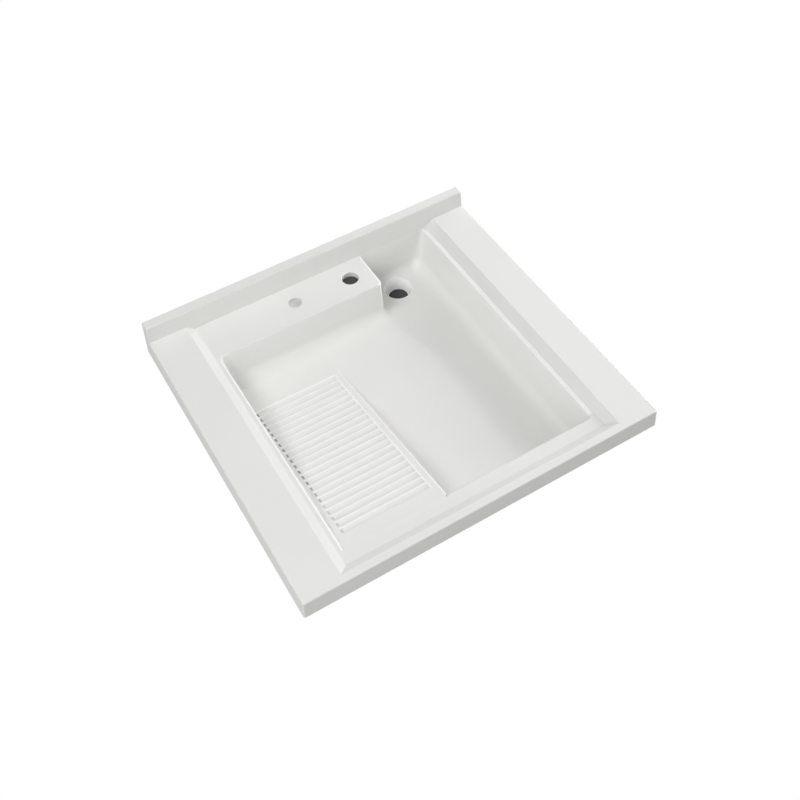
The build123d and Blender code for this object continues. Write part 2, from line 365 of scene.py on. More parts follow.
# run: kind, name, pieces, wall draft, cove radius, rim radius at start and end
RUNS = [("line", "front", 60, (0.04, 0.04), (8, 20), (2.0, 2.0)), ("arc", "B", 14, (0.04, 0.12), (20, 26), (2.0, 2.0)),
        ("line", "right", 84, (0.12, 0.12), (26, 30), (2.0, 2.0)), ("arc", "C", 14, (0.12, 0.02), (30, 22), (2.0, 0.0)),
        ("line", "rear", 26, (0.02, 0.02), (22, 15), (0.0, 0.0)), ("arc", "D", 12, (0.02, 0.03), (15, 11), (0.0, 1.6)),
        ("line", "end", 16, (0.03, 0.03), (11, 14), (1.6, 1.6)), ("arc", "E", 14, (0.03, 0.03), (14, 24), (1.6, 1.8)),
        ("line", "ledge", 50, (0.03, 0.03), (24, 30), (1.8, 2.0)), ("arc", "F", 14, (0.03, 0.04), (30, 20), (2.0, 2.0)),
        ("line", "left", 14, (0.04, 0.04), (20, 11), (2.0, 2.0))]

stations = []
for kind, name, n, draft, cove, rim in RUNS:
    for i in range(n + (1 if name == "left" else 0)):
        t = (i / n) ** (1.5 if name == "front" else 1.0)
        mix = [a + (b - a) * t for a, b in (draft, cove, rim)]
        stations.append((kind, name, t, *mix))


def at(st, d, o):
    return corner_point(st[1], st[2], d, o) if st[0] == "arc" else line_point(st[1], st[2], d, o)


RIM_STEPS, WALL_STEPS, COVE_STEPS, EDGE = 5, 12, 12, 0.9


def wall_column(st):
    """Points of one section, from the rim down the wall and round the cove."""
    k, big, rim = st[3:6]
    d = 90.0
    for _ in range(12):
        x, y = at(st, d, 0.0)
        d = TRAY_Z - ground(x, y)
    x, y = at(st, d, 0.0)
    z0 = ground(x, y)
    reach = 10.0
    x2, y2 = at(st, d, reach)
    m = (ground(x2, y2) - z0) / max(math.hypot(x2 - x, y2 - y), 1e-6) * (math.hypot(x2 - x, y2 - y) / reach)
    uw = Vector((-k, 1.0)).normalized()
    uf = Vector((1.0, m)).normalized()
    theta = math.acos(max(-1, min(1, uw.dot(uf))))
    big = min(big, 0.45 * d)
    length = big / math.tan(theta / 2)
    foot = Vector((k * d, z0))
    q1, q2 = foot + uw * length, foot + uf * length
    cen = foot + (uw + uf).normalized() * (big / math.sin(theta / 2))
    a1 = math.atan2(q1[1] - cen[1], q1[0] - cen[0])
    a2 = math.atan2(q2[1] - cen[1], q2[0] - cen[0])
    while a2 < a1:
        a2 += 2 * math.pi
    if a2 - a1 > math.pi:
        a2 -= 2 * math.pi
    # width of the flat band past the rim rounding; it belongs to the rim rows, which take the painted highlight on some
    # runs; wider along the ledge's end
    strip = EDGE * (1.7 if st[1] in ("end", "E", "D") else 1.0) * min(rim / 1.6, 1.0)
    col = [(*at(st, 0.0, -rim - strip), TRAY_Z)]
    for i in range(RIM_STEPS + 1):
        t = math.pi / 2 * i / RIM_STEPS
        o, dd = -rim * (1 - math.sin(t)), rim * (1 - math.cos(t))
        col.append((*at(st, dd, o), TRAY_Z - dd))
    d1 = TRAY_Z - q1[1]
    for i in range(1, WALL_STEPS + 1):
        dd = rim + (d1 - rim) * i / WALL_STEPS
        col.append((*at(st, dd, 0.0), TRAY_Z - dd))
    end = at(st, TRAY_Z - q2[1], q2[0] - k * (TRAY_Z - q2[1]))
    err = ground(*end) - q2[1]
    for i in range(1, COVE_STEPS + 1):
        t = i / COVE_STEPS
        a = a1 + (a2 - a1) * t
        w, z = cen[0] + big * math.cos(a), cen[1] + big * math.sin(a)
        dd = TRAY_Z - z
        col.append((*at(st, dd, w - k * dd), z + err * t * t))
    return col


columns = [wall_column(s) for s in stations]

# cheek of the washboard, from behind the plate's end to the front wall
CHEEK_STEPS = 74


def cheek_column(y, front=False):
    top, q1, q2, cen, big = cheek_section(y)
    a1 = math.atan2(q1[1] - cen[1], q1[0] - cen[0])
    a2 = math.atan2(q2[1] - cen[1], q2[0] - cen[0])
    if a2 < a1:
        a2 += 2 * math.pi
    col = []
    for i in range(7):
        z = top + (q1[1] - top) * i / 6
        col.append((BOARD_X, z))
    for i in range(1, 15):
        a = a1 + (a2 - a1) * i / 14
        col.append((cen[0] + big * math.cos(a), cen[1] + big * math.sin(a)))
    err = floor_z(q2[0], y) - q2[1]
    out = []
    for x, z in col:
        t = min(max((x - q1[0]) / (q2[0] - q1[0]), 0.0), 1.0)
        z += err * t * t
        # the last section lies against the front wall
        out.append((x, BOWL_F + 0.04 * (TRAY_Z - z) - 0.2 if front else y, z))
    return out


cheek_ys = [BOARD_CUT + (66.0 - BOARD_CUT) * i / CHEEK_STEPS for i in range(CHEEK_STEPS + 1)]
cheek_cols = [cheek_column(y) for y in cheek_ys] + [cheek_column(BOWL_F + 3.0, True)]


# -------------------------------------------------------------------- materials
def stone(name, base, rough, coat, grain=1.0, speck=0.012):
    """Polished or cast quartz composite: fine mineral specks, faint clouding,
    slightly uneven gloss and a very light ripple."""
    mat = bpy.data.materials.new(name)
    mat.use_nodes = True
    nt = mat.node_tree
    bsdf = nt.nodes["Principled BSDF"]
    bsdf.inputs["IOR"].default_value = 1.5
    bsdf.inputs["Coat Weight"].default_value = coat
    bsdf.inputs["Coat Roughness"].default_value = 0.12
    geo = nt.nodes.new("ShaderNodeTexCoord")
    cloud = nt.nodes.new("ShaderNodeTexNoise")
    cloud.inputs["Scale"].default_value = 9.0
    cloud.inputs["Detail"].default_value = 4.0
    fine = nt.nodes.new("ShaderNodeTexNoise")
    fine.inputs["Scale"].default_value = 900.0 * grain
    fine.inputs["Detail"].default_value = 3.0
    speckle = nt.nodes.new("ShaderNodeTexVoronoi")
    speckle.inputs["Scale"].default_value = 650.0 * grain
    for n in (cloud, fine, speckle):
        nt.links.new(geo.outputs["Object"], n.inputs["Vector"])
    ramp = nt.nodes.new("ShaderNodeValToRGB")
    ramp.color_ramp.elements[0].position = 0.30
    ramp.color_ramp.elements[1].position = 0.70
    c0 = [c * (1 - speck * 1.2) for c in base]
    ramp.color_ramp.elements[0].color = (*c0, 1)
    ramp.color_ramp.elements[1].color = (*[min(c * (1 + speck * 0.5), 1) for c in base], 1)
    nt.links.new(cloud.outputs["Fac"], ramp.inputs["Fac"])
    dots = nt.nodes.new("ShaderNodeValToRGB")
    dots.color_ramp.elements[0].position = 0.05
    dots.color_ramp.elements[1].position = 0.35
    dots.color_ramp.elements[0].color = (*[c * (1 - speck * 4) for c in base], 1)
    dots.color_ramp.elements[1].color = (1, 1, 1, 1)
    nt.links.new(speckle.outputs["Distance"], dots.inputs["Fac"])
    mix = nt.nodes.new("ShaderNodeMixRGB")
    mix.blend_type = "MULTIPLY"
    mix.inputs["Fac"].default_value = 0.25
    nt.links.new(ramp.outputs["Color"], mix.inputs["Color1"])
    nt.links.new(dots.outputs["Color"], mix.inputs["Color2"])
    nt.links.new(mix.outputs["Color"], bsdf.inputs["Base Color"])
    rmap = nt.nodes.new("ShaderNodeMapRange")
    rmap.inputs["To Min"].default_value = rough * 0.88
    rmap.inputs["To Max"].default_value = rough * 1.12
    nt.links.new(fine.outputs["Fac"], rmap.inputs["Value"])
    nt.links.new(rmap.outputs["Result"], bsdf.inputs["Roughness"])
    bump = nt.nodes.new("ShaderNodeBump")
    bump.inputs["Strength"].default_value = 0.05
    bump.inputs["Distance"].default_value = 0.0004
    nt.links.new(fine.outputs["Fac"], bump.inputs["Height"])
    nt.links.new(bump.outputs["Normal"], bsdf.inputs["Normal"])
    return mat


POLISHED = stone("polished_composite", (0.80, 0.80, 0.782), 0.34, 0.0)
# the bowl's stone, a touch lighter than the polished deck: the lighter base colour is painted light that lifts the
# shaded inside of the bowl; the higher roughness is the cast finish
CAST = stone("cast_composite", (0.825, 0.825, 0.806), 0.38, 0.0)
# near-white copies of the stone: their base colour is a painted highlight on rims, crests, lips and a tray strip; the
# lower roughness is a glossier finish
POLISHED_HIGHLIGHT = stone("polished_composite_painted_highlight", (0.97, 0.97, 0.955), 0.2, 0.0, speck=0.004)
CAST_HIGHLIGHT = stone("cast_composite_painted_highlight", (0.97, 0.97, 0.955), 0.2, 0.0, speck=0.004)
# darker stone inside the blind tap-hole dimple: its base colour is painted shade in the recess; the higher roughness is
# a duller finish
DIMPLE_SHADE = stone("polished_composite_painted_dimple_shade", (0.68, 0.68, 0.66), 0.5, 0.0, speck=0.02)
# darker stone for the pockets at the grooves' left ends: painted shade, in three steps from dark to light
POCKET_SHADE_DARK = stone("cast_composite_painted_pocket_shade_dark", (0.40, 0.40, 0.39), 0.6, 0.0, speck=0.05)
POCKET_SHADE_MID = stone("cast_composite_painted_pocket_shade_mid", (0.51, 0.51, 0.495), 0.55, 0.0, speck=0.03)
POCKET_SHADE_LIGHT = stone("cast_composite_painted_pocket_shade_light", (0.66, 0.66, 0.645), 0.5, 0.0, speck=0.02)
RAW = stone("raw_composite", (0.66, 0.66, 0.645), 0.75, 0.0, grain=0.5, speck=0.05)


# ------------------------------------------------------------------- bowl shell
def l_outline(d, grow, z):
    """Outer outline of the bowl's rim, matching the hole in the tray plate."""
    xl, xr = BOWL_L + 0.04 * d - grow, BOWL_R - 0.12 * d + grow
    yf, ym = BOWL_F + 0.04 * d - grow, LEDGE_Y - 0.03 * d + grow
    xe, yr = LEDGE_X + 0.03 * d - grow, BACK_Y
    r = 7.5 + 16.5 * d / 115.0 + grow * 0.8
    pts = [((xl, yf), r), ((xr, yf), r), ((xr, yr), 1.5), ((xe, yr), 1.5), ((xe, ym), 1.5), ((xl, ym), r)]
    out = []
    for i, (p, rr) in enumerate(pts):
        c = Vector(p)
        a = (Vector(pts[i - 1][0]) - c).normalized()
        b = (Vector(pts[(i + 1) % 6][0]) - c).normalized()
        s, e = c + a * rr, c + b * rr
        cen = s + b * rr
        for j in range(9):
            t = math.radians(90 * j / 8)
            q = cen - b * rr * math.cos(t) - a * rr * math.sin(t)
            out.append((q[0], q[1], z))
    return out


RIM_ROWS = RIM_STEPS + 2
TOP_POINTS = RIM_ROWS + WALL_STEPS
rear = [i for i, st in enumerate(stations) if st[1] == "rear"]
cut = set(rear[1:])


def rear_z(x, y):
    """Floor of the drain bay, with the cove of its rear wall."""
    z = ground(x, y)
    ends = rear + [rear[-1] + 1]
    for i, j in zip(ends, ends[1:]):
        x0, x1 = columns[i][-1][0], columns[j][-1][0]
        if min(x0, x1) <= x <= max(x0, x1):
            t = (x - x0) / (x1 - x0)
            zs = []
            for k in (i, j):
                pts = sorted((p[1], p[2]) for p in columns[k][TOP_POINTS - 1:])
                zs.append(np.interp(y, [p[0] for p in pts], [p[1] for p in pts]) if y > pts[0][0] else z)
            return zs[0] + (zs[1] - zs[0]) * t
    return z


shell = Skin()
ids = [shell.points(c) for c in columns]
for i, (a, b) in enumerate(zip(ids, ids[1:])):
    n = TOP_POINTS if i in cut or i + 1 in cut else len(a)
    run, t = stations[i][1:3]
    # the rim rounding of the right, end, ledge-corner and left runs takes the painted highlight; the other runs take
    # the polished stone
    shell.mat = 1 if run in ("right", "end", "E", "left") else 2
    shell.strip(a[:RIM_ROWS], b[:RIM_ROWS])
    # a band of the ledge's upright corner takes the painted highlight too
    shell.mat = 1 if run == "E" and 0.27 < t < 0.70 else 0
    shell.strip(a[RIM_ROWS - 1:TOP_POINTS], b[RIM_ROWS - 1:TOP_POINTS])
    shell.mat = 0
    if n > TOP_POINTS:
        shell.strip(a[TOP_POINTS - 1:n], b[TOP_POINTS - 1:n])

# rim over the washboard: left wall between plate and rim, and the front edge
left_rows = []
for i in range(61):
    y = BOARD_CUT + (BOWL_F - BOARD_CUT) * i / 60
    h = max(TRAY_Z - board_z(y), 0.0)
    col = [(BOWL_L - 2.0 - EDGE, y, TRAY_Z)]
    for j in range(RIM_STEPS + 1):
        t = math.pi / 2 * j / RIM_STEPS
        col.append((BOWL_L - 2.0 * (1 - math.sin(t)), y, TRAY_Z - min(2.0 * (1 - math.cos(t)), h + 2.0)))
    for j in range(1, 9):
        dd = 2.0 + max(h + 2.5 - 2.0, 0.3) * j / 8
        col.append((BOWL_L + 0.04 * dd, y, TRAY_Z - dd))
    left_rows.append(col)
# the rim rounding over the washboard takes the painted highlight
shell.mat = 1
shell.rows([r[:RIM_ROWS] for r in left_rows])
shell.mat = 0
shell.rows([r[RIM_ROWS - 1:] for r in left_rows])

rim_outer = l_outline(0.0, SHELL_T, TRAY_Z)
rim_inner = [c[0] for c in columns] + [r[0] for r in left_rows[1:]] + [(BOARD_X - 3.0, BOWL_F, TRAY_Z)]
# the tray strip between the bowl's right rim and the bevel takes the painted highlight
shell.fill([rim_outer, rim_inner], mat_of=lambda x, y: 1 if x > BOWL_R and 64 < y < 622 else 2)

floor_loop, in_cove = [], []
front_end = cheek_cols[-1][-1][0] + 0.6
for i, c in enumerate(columns):
    if stations[i][1] == "front" and c[-1][0] < front_end:
        continue
    if i in cut:
        floor_loop.append(c[TOP_POINTS - 1])
        in_cove += c[TOP_POINTS:]
    elif i == rear[0]:
        floor_loop += c[:TOP_POINTS - 2:-1]
    elif i == rear[-1] + 1:
        floor_loop += c[TOP_POINTS - 1:]
    else:
        floor_loop.append(c[-1])
last, cheek_first = columns[-1][-1], cheek_cols[0][-1]
tail = [last[0] + (cheek_first[0] - last[0]) * i / 60 for i in range(1, 60)]
floor_loop += [(x, BOARD_CUT, board_surface(x, BOARD_CUT)) for x in tail]
floor_loop += [c[-1] for c in cheek_cols]
around = [2 * math.pi * i / 96 for i in range(96)]


def ring(r):
    return [(DRAIN_X + r * math.cos(a), DRAIN_Y + r * math.sin(a)) for a in around]


seat_ring = [(x, y, rear_z(x, y)) for x, y in ring(LIP_R)]
in_cove = [p for p in in_cove if math.hypot(p[0] - DRAIN_X, p[1] - DRAIN_Y) > LIP_R + 0.9]
shell.fill([floor_loop, seat_ring], rear_z, 5.0, in_cove)


def outer_face(c, n):
    """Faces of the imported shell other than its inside, rim and floor: all the
    inside leans upwards, and the waste hole's wall is hidden by the seat."""
    x, y, z = c
    if z > TRAY_Z - 0.2 or n[2] > 0.004:
        return False
    return not (abs(n[2]) < 0.3 and math.hypot(x - DRAIN_X, y - DRAIN_Y) < SEAT_OUT + 3)


shell.cad("bowl_shell", outer_face)
shell.object("bowl_shell_cast", "bowl_shell", (CAST, CAST_HIGHLIGHT, POLISHED), flip=lambda c: c.z > -0.069 and abs(c.x) < 0.2)

# --------------------------------------------------------------- washboard plate
plate = Skin()
xs = list(np.linspace(GROOVE_X0, GROOVE_X0 + 8, 13)) + list(np.linspace(GROOVE_X0 + 12, GROOVE_X1 - 6, 28))
xs += list(np.linspace(GROOVE_X1 - 4, GROOVE_X1, 9)) + [288.6, 289.5, 292, 295]
ys = [BOWL_F, 62, 68, 74, 80, 83]
per = 20
for i in range(GROOVE_N):
    ys += [GROOVE_Y0 + GROOVE_PITCH * (i + j / per) for j in range(per)]
ys += [GROOVE_Y0 + GROOVE_PITCH * GROOVE_N, 445.5, BOARD_CUT]


POCKET_X0, POCKET_X1, POCKET_V0, POCKET_V1, POCKET_DEPTH = GROOVE_X0 + 0.2, GROOVE_X0 + 4.0, 0.26, 0.74, 1.6


def in_pocket(x, v):
    """Small pocket at the left end of each groove; its faces carry painted shade."""
    return POCKET_X0 < x < POCKET_X1 and 0 < v < GROOVE_N and POCKET_V0 < v % 1.0 < POCKET_V1


def groove(x, y):
    v = (y - GROOVE_Y0) / GROOVE_PITCH
    if v <= 0 or v >= GROOVE_N:
        return 0.0
    c = min(v % 1.0, 1 - v % 1.0) * GROOVE_PITCH
    c0, p, deep = 1.3, GROOVE_PITCH, GROOVE_DEPTH

    def arc(q):
        return deep * (1 - (1 - 2 * q / p) ** 2)
    slope = deep * 4 / p * (1 - 2 * c0 / p)
    a = slope / (2 * c0)
    depth = a * c * c if c < c0 else arc(c) - (arc(c0) - a * c0 * c0)
    full = arc(p / 2) - (arc(c0) - a * c0 * c0)
    ends = min(smooth((x - GROOVE_X0) / 5.0), smooth((GROOVE_X1 - x) / 2.6))
    if in_pocket(x, v):
        return full * 0.4 + POCKET_DEPTH
    return min(depth, full * ends) if ends < 1 else depth


top_rows = []
edge = [(2.6 * math.sin(math.radians(a)), 2.6 * (1 - math.cos(math.radians(a)))) for a in (15, 30, 45, 60, 75, 90)]
for y in ys:
    h = TRAY_Z - board_z(y)
    xw = BOWL_L + 0.04 * h
    cove = min(0.35 * h, 11.0, GROOVE_X0 - 0.6 - xw)
    row = []
    for j in range(8):
        t = math.radians(90 * j / 7)
        x = xw + cove * (1 - math.cos(t)) - 0.04 * cove * (1 - math.sin(t))
        row.append((x, y, board_surface(x, y) + cove * (1 - math.sin(t))))
    for j in (1, 2):
        x = xw + cove + (GROOVE_X0 - 0.3 - xw - cove) * j / 2
        row.append((x, y, board_surface(x, y)))
    for x in xs:
        row.append((x, y, board_surface(min(x, 290), y) - groove(x, y)))
    z = board_surface(290, y)
    row.append((BOARD_X - 2.6, y, z))
    for dx, dz in edge:
        row.append((BOARD_X - 2.6 + dx, y, z - dz * edge_drop(y) / 2.6))
    top_rows.append(row)
ids = [plate.points(r) for r in top_rows]
for i, (a, b) in enumerate(zip(ids, ids[1:])):
    y = (ys[i] + ys[i + 1]) / 2
    v = (y - GROOVE_Y0) / GROOVE_PITCH
    # crest strips, the plate's rounded right edge and the grooves' right ends take the painted highlight
    crest = -0.1 < v < GROOVE_N + 0.1 and min(v % 1.0, 1 - v % 1.0) * GROOVE_PITCH < 1.3
    for j in range(len(a) - 1):
        x = (top_rows[i][j][0] + top_rows[i][j + 1][0]) / 2
        highlight_paint = (crest and GROOVE_X0 - 1 < x < GROOVE_X1) or x > BOARD_X - 2.7
        highlight_paint = highlight_paint or (0 < v < GROOVE_N and GROOVE_X1 - 0.8 < x < GROOVE_X1 + 1.2)
        pocket = in_pocket(x, v)
        # painted shade in the pockets, darkest at the rear and lighter towards the front
        plate.mat = (2 if v > 8 else 3 if v > 5 else 4) if pocket else 1 if highlight_paint else 0
        plate.strip(a[j:j + 2], b[j:j + 2])
plate.mat = 0
# below its rounded edge the plate stands back a little behind the cheek's face
low = [[(BOWL_L, r[0][1], board_z(r[0][1]) - BOARD_DROP), (BOARD_X - 2.0, r[-1][1], board_z(r[-1][1]) - BOARD_DROP)] for r in top_rows]
plate.rows(low)
plate.rows([[r[0] for r in top_rows], [r[0] for r in low]])
plate.rows([[r[-1] for r in top_rows], [r[1] for r in low]])
plate.polygon(top_rows[0] + [low[0][1], low[0][0]])
plate.polygon(top_rows[-1] + [low[-1][1], low[-1][0]])
plate.object("washboard_plate_ribbed", "washboard_plate", (CAST, CAST_HIGHLIGHT, POCKET_SHADE_DARK, POCKET_SHADE_MID, POCKET_SHADE_LIGHT), sharp=50,
             flip=lambda c: True)

cheek = Skin()
cheek.rows(cheek_cols)
cheek.cad("washboard_cheek", lambda c, n: c[0] < BOARD_X - 2)
cheek.object("washboard_cheek_cast", "washboard_cheek", CAST)

# ------------------------------------------------------------------- waste seat
seat = Skin()
bottom = SEAT_Z - SEAT_DEPTH - DRAIN_LEN


rim_z = [rear_z(x, y) for x, y in ring(SEAT_R)]
seat_rows = [seat_ring]
for r, drop in ((SEAT_R + 1.2, 0.0), (SEAT_R + 0.75, 0.12), (SEAT_R + 0.35, 0.45), (SEAT_R + 0.08, 0.95), (SEAT_R - 0.1, 1.6)):
    seat_rows.append([(x, y, z - drop) for (x, y), z in zip(ring(r), rim_z)])
for f in np.linspace(0.08, 1.0, 12):
    r = 21.9 + (SEAT_R - 0.1 - 21.9) * (1 - f) ** 1.4
    seat_rows.append([(x, y, (z - 1.6) * (1 - f) + (bottom + 1.5) * f) for (x, y), z in zip(ring(r), rim_z)])
for r, z in ((21.35, bottom + 1.3), (20.85, bottom + 0.9), (DRAIN_R, bottom)):
    seat_rows.append([(x, y, z) for x, y in ring(r)])
for r, z in ((SEAT_OUT - 1, bottom), (SEAT_OUT, bottom + 1), (SEAT_OUT, SEAT_Z - 0.9), (LIP_R + 0.3, SEAT_Z - 0.9)):
    seat_rows.append([(x, y, z) for x, y in ring(r)])
seat_rows.append(seat_ring)
seat_ids = [seat.points(r) for r in seat_rows]
for i, (a, b) in enumerate(zip(seat_ids, seat_ids[1:])):
    # the lip, the funnel and the hole's wall take the highlight material: painted highlight on the lip and painted
    # light inside the recess
    seat.mat = 1 if i < 20 else 0
    seat.strip(a, b, True)
seat.object("drain_seat_turned", "drain_seat", (CAST, CAST_HIGHLIGHT), sharp=40)

# ------------------------------------------------------------------- tray plate
tray = Skin()
hole = [(TAP_X + (TAP_R + 1.1) * math.cos(2 * math.pi * i / 64), TAP_Y + (TAP_R + 1.1) * math.sin(2 * math.pi * i / 64), TRAY_Z) for i in range(64)]
dimple = [(BLIND_X + (BLIND_R + 0.8) * math.cos(2 * math.pi * i / 64), BLIND_Y + (BLIND_R + 0.8) * math.sin(2 * math.pi * i / 64), TRAY_Z)
          for i in range(64)]
outline = [(APRON_T, APRON_T, TRAY_Z), (TOP_W - APRON_T, APRON_T, TRAY_Z), (TOP_W - APRON_T, BACK_Y, TRAY_Z)]
rim = rim_outer
# the plate's hole is open to the rear, so its outline and the rim join into one loop
split = max(range(len(rim)), key=lambda i: (rim[i][0] + rim[i][1]))
rear_right = next(i for i in range(len(rim)) if abs(rim[i][1] - BACK_Y) < 0.01 and rim[i][0] > 560)
rear_left = next(i for i in range(len(rim)) if abs(rim[i][1] - BACK_Y) < 0.01 and rim[i][0] < 500)
loop = outline + [rim[i % len(rim)] for i in range(rear_right, rear_left - len(rim) - 1, -1)] + [(APRON_T, BACK_Y, TRAY_Z)]
tray.fill([loop, hole, dimple])
for cx, cy, r, round_r, prof in ((TAP_X, TAP_Y, TAP_R, 1.1, "through"), (BLIND_X, BLIND_Y, BLIND_R, 0.8, "blind")):
    rr = [(r + round_r * (1 - math.sin(math.radians(a))), TRAY_Z - round_r * (1 - math.cos(math.radians(a)))) for a in (0, 22, 45, 68, 90)]
    if prof == "through":
        rr += [(r, TRAY_BOT + 2.0), (r, TRAY_BOT)]
    else:
        rr += [(r - 0.3, TRAY_Z - BLIND_DEPTH + 2.4), (r - 1.4, TRAY_Z - BLIND_DEPTH + 0.9), (r - 3.2, TRAY_Z - BLIND_DEPTH + 0.1),
               (r * 0.5, TRAY_Z - BLIND_DEPTH), (0.3, TRAY_Z - BLIND_DEPTH)]
    hole_ids = [tray.points([(cx + q * math.cos(2 * math.pi * i / 64), cy + q * math.sin(2 * math.pi * i / 64), z) for i in range(64)]) for q, z in rr]
    for k, (a, b) in enumerate(zip(hole_ids, hole_ids[1:])):
        # the tap hole's rounding and bottom lip take the painted highlight; the dimple's inside takes the painted shade
        tray.mat = (1 if k != 4 else 0) if prof == "through" else (2 if k > 3 else 0)
        tray.strip(a, b, True)
    tray.mat = 0
tray.cad("tray_plate", lambda c, n: c[2] < TRAY_Z - 0.05 and math.hypot(c[0] - TAP_X, c[1] - TAP_Y) > TAP_R + 0.5
         and math.hypot(c[0] - BLIND_X, c[1] - BLIND_Y) > BLIND_R + 0.5 or n[2] < -0.5)
tray.object("tray_plate_polished", "tray_plate", (POLISHED, POLISHED_HIGHLIGHT, DIMPLE_SHADE), flip=lambda c: c.z > 0.029)


# ----------------------------------------------------------------- deck strips
def u_ring(xl, xr, yf, r, z, rear, part, n=8):
    """Points of one level of the U-shaped deck or apron: left run, front, right."""
    left = [(xl, rear, z)]
    cl = [(xl + r - r * math.cos(math.radians(a)), yf + r - r * math.sin(math.radians(a)), z) for a in np.linspace(0, 90, 2 * n + 1)]
    cr = [(xr - r + r * math.sin(math.radians(a)), yf + r - r * math.cos(math.radians(a)), z) for a in np.linspace(0, 90, 2 * n + 1)]
    right = [(xr, rear, z)]
    if part == "left":
        return left + cl[:n + 1]
    if part == "front":
        return cl[n:] + cr[:n + 1]
    return cr[n:] + right


def fillet_points(p0, p1, p2, r, n=5):
    """Rounds the corner p1 of a section with radius r."""
    p0, p1, p2 = Vector(p0), Vector(p1), Vector(p2)
    a, b = (p0 - p1).normalized(), (p2 - p1).normalized()
    th = math.acos(max(-1, min(1, a.dot(b))))
    ln = r / math.tan(th / 2)
    q1, q2 = p1 + a * ln, p1 + b * ln
    cen = p1 + (a + b).normalized() * (r / math.sin(th / 2))
    u, v = q1 - cen, q2 - cen
    ang = math.acos(max(-1, min(1, u.normalized().dot(v.normalized()))))
    out = []
    for i in range(n + 1):
        t = i / n
        w = (u * math.sin((1 - t) * ang) + v * math.sin(t * ang)) / math.sin(ang)
        out.append(tuple(cen + w))
    return out


# section of the bevel as (inset, z) in millimetres, inset 0 at the top edge of the bevel
def deck_rows(part):
    rows = []
    outer = [(-13.0, 3.0), (-2.0, 3.0)]
    for z, r in outer:
        s, f = -SIDE_LEAN * z, -FRONT_LEAN * z
        rows.append(u_ring(-s, TOP_W + s, -f, r, z, WALL_Y, part))
    for a in (20, 40, 60, 78, 90):
        t = math.radians(a)
        inset, z = 2.0 * (1 - math.cos(t)), -2.0 * (1 - math.sin(t))
        s, f = -SIDE_LEAN * z - inset, -FRONT_LEAN * z - inset
        rows.append(u_ring(-s, TOP_W + s, -f, max(3.0 - inset, 0.8), z, WALL_Y, part))
    section = [(-8.0, 0.0), (0.0, 0.0), (BEVEL, TRAY_Z), (BEVEL + 10, TRAY_Z)]
    crest = fillet_points(section[0], section[1], section[2], 3.0)
    foot = fillet_points(section[1], section[2], section[3], 3.5)
    for u, z in crest + foot:
        rows.append(u_ring(DECK_L + u, DECK_R - u, DECK_F + u, 0.6, z, WALL_Y, part))
    return rows


for part in ("left", "front", "right"):
    deck = Skin()
    rows = deck_rows(part)
    deck.rows(rows)
    base = [(p[0], p[1], TRAY_Z) for p in rows[0]]
    inner = [(p[0], p[1], TRAY_Z) for p in rows[-1]]
    deck.rows([base, inner])
    for k in (0, -1):
        deck.polygon([r[k] for r in rows] + ([] if part == "front" else []))
    deck.object(f"deck_{part}_bevelled", f"deck_{part}", POLISHED, flip=lambda c: c.z > 0.04)

    apron = Skin()
    rows = []
    for z, r in ((-13.0, 3.0), (-41.6, 3.0)):
        s, f = -SIDE_LEAN * z, -FRONT_LEAN * z
        rows.append(u_ring(-s, TOP_W + s, -f, r, z, BACK_Y, part))
    for a in (30, 60, 90):
        t = math.radians(a)
        inset, z = 1.2 * (1 - math.cos(t)), -41.6 - 1.2 * math.sin(t)
        s, f = SIDE_LEAN * 41.6 - inset, FRONT_LEAN * 41.6 - inset
        rows.append(u_ring(-s, TOP_W + s, -f, 3.0 - inset, z, BACK_Y, part))
    rows.append(u_ring(APRON_T, TOP_W - APRON_T, APRON_T, 0.2, -43.0, BACK_Y, part))
    rows.append(u_ring(APRON_T, TOP_W - APRON_T, APRON_T, 0.2, -13.0, BACK_Y, part))
    rows.append(rows[0])
    apron.rows(rows)
    for k in (0, -1):
        apron.polygon([r[k] for r in rows[:-1]])
    apron.object(f"apron_{part}_edge", f"apron_{part}", POLISHED)

# ------------------------------------------------------------------- backsplash
bm = bmesh.new()
s0, s1 = SIDE_LEAN * 13.0, -SIDE_LEAN * UPSTAND_H
corners = [(-s0, WALL_Y, TRAY_Z), (TOP_W + s0, WALL_Y, TRAY_Z), (TOP_W + s0, BACK_Y, TRAY_Z), (-s0, BACK_Y, TRAY_Z),
           (-s1, WALL_Y, UPSTAND_H), (TOP_W + s1, WALL_Y, UPSTAND_H), (TOP_W + s1, BACK_Y, UPSTAND_H), (-s1, BACK_Y, UPSTAND_H)]
vs = [bm.verts.new(world(c)) for c in corners]
for f in ((0, 1, 5, 4), (1, 2, 6, 5), (2, 3, 7, 6), (3, 0, 4, 7), (4, 5, 6, 7), (3, 2, 1, 0)):
    bm.faces.new([vs[i] for i in f])
bm.edges.ensure_lookup_table()
pick = []
for e in bm.edges:
    a, b = e.verts
    if a.co.z > 0.07 and b.co.z > 0.07:
        pick.append(e)
    elif abs(a.co.y - b.co.y) < 1e-6 and abs(a.co.x - b.co.x) < 0.01 and a.co.y < 0.31:
        pick.append(e)
bmesh.ops.bevel(bm, geom=pick, offset=0.0018, segments=5, profile=0.5, affect="EDGES")
bmesh.ops.recalc_face_normals(bm, faces=bm.faces)
me = bpy.data.meshes.new("backsplash_upstand")
bm.to_mesh(me)
bm.free()
me.polygons.foreach_set("use_smooth", [True] * len(me.polygons))
me.set_sharp_from_angle(angle=math.radians(32))
me.materials.append(POLISHED)
upstand = bpy.data.objects.new("backsplash_upstand", me)
bpy.context.scene.collection.objects.link(upstand)
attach(upstand, "root")
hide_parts("backsplash")
flat_shading(upstand)

for name in ("batten_left", "batten_right", "batten_front", "rear_rail"):
    me = cad[name].data
    me.materials.clear()
    me.materials.append(RAW)

# ------------------------------------------------------------------------ stage
FLOOR_Z = -0.80


